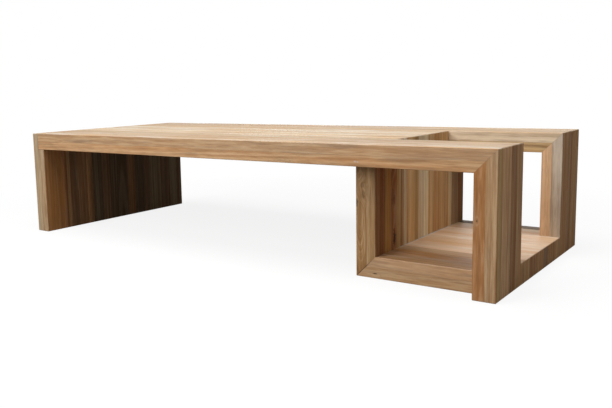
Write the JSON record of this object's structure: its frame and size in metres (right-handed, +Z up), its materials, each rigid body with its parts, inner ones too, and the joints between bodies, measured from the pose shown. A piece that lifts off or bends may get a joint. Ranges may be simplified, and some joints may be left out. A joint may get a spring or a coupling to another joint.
{
  "type": "wooden bench",
  "caption": "Low, deep wooden bench of laminated staves with waterfall mitred corners, an open box with a shelf at one end and a notch in the seat above it.",
  "frame": {"origin": "on the floor at the middle of the bench's box, halfway along its length and its depth", "axes": "+X along the bench towards the end with the open box, +Y from the front to the back, +Z up"},
  "size_m": [1.9, 0.8, 0.4],
  "materials": {
    "top_teak": "sanded, bleached, matt",
    "stave_teak": "sanded reclaimed teak, matt",
    "board_teak": "sanded reclaimed teak, matt",
    "tongue_wood": "planed, unfinished"
  },
  "bodies": {
    "root": {"back_leg_board": "board_teak", "back_leg_stave_1": "stave_teak", "back_leg_stave_2": "stave_teak", "back_leg_stave_3": "stave_teak", "back_leg_tongue": "tongue_wood", "divider_back_board": "board_teak", "divider_front_board": "board_teak", "divider_middle_board": "board_teak", "divider_stave_1": "stave_teak", "divider_stave_2": "stave_teak", "divider_stave_3": "stave_teak", "divider_stave_4": "stave_teak", "divider_stave_5": "stave_teak", "divider_stave_6": "stave_teak", "divider_stave_7": "stave_teak", "divider_stave_8": "stave_teak", "divider_tongue": "tongue_wood", "front_leg_board": "board_teak", "front_leg_stave_1": "stave_teak", "front_leg_stave_2": "stave_teak", "front_leg_stave_3": "stave_teak", "front_leg_tongue": "tongue_wood", "left_leg_board": "board_teak", "left_leg_stave_01": "stave_teak", "left_leg_stave_02": "stave_teak", "left_leg_stave_03": "stave_teak", "left_leg_stave_04": "stave_teak", "left_leg_stave_05": "stave_teak", "left_leg_stave_06": "stave_teak", "left_leg_stave_07": "stave_teak", "left_leg_stave_08": "stave_teak", "left_leg_stave_09": "stave_teak", "left_leg_stave_10": "stave_teak", "left_tongue": "tongue_wood", "shelf_back_board": "board_teak", "shelf_end_board": "board_teak", "shelf_front_board": "board_teak", "shelf_middle_board": "board_teak", "shelf_stave_1": "stave_teak", "shelf_stave_2": "stave_teak", "shelf_stave_3": "stave_teak", "shelf_stave_4": "stave_teak", "shelf_stave_5": "stave_teak", "shelf_stave_6": "stave_teak", "shelf_stave_7": "stave_teak", "shelf_stave_8": "stave_teak", "shelf_tongue": "tongue_wood", "top_back_board": "board_teak", "top_front_board": "board_teak", "top_middle_board": "board_teak", "top_stave_01": "top_teak", "top_stave_02": "top_teak", "top_stave_03": "top_teak", "top_stave_04": "top_teak", "top_stave_05": "top_teak", "top_stave_06": "top_teak", "top_stave_07": "top_teak", "top_stave_08": "top_teak", "top_stave_09": "top_teak", "top_stave_10": "top_teak"}
  },
  "joints": []
}
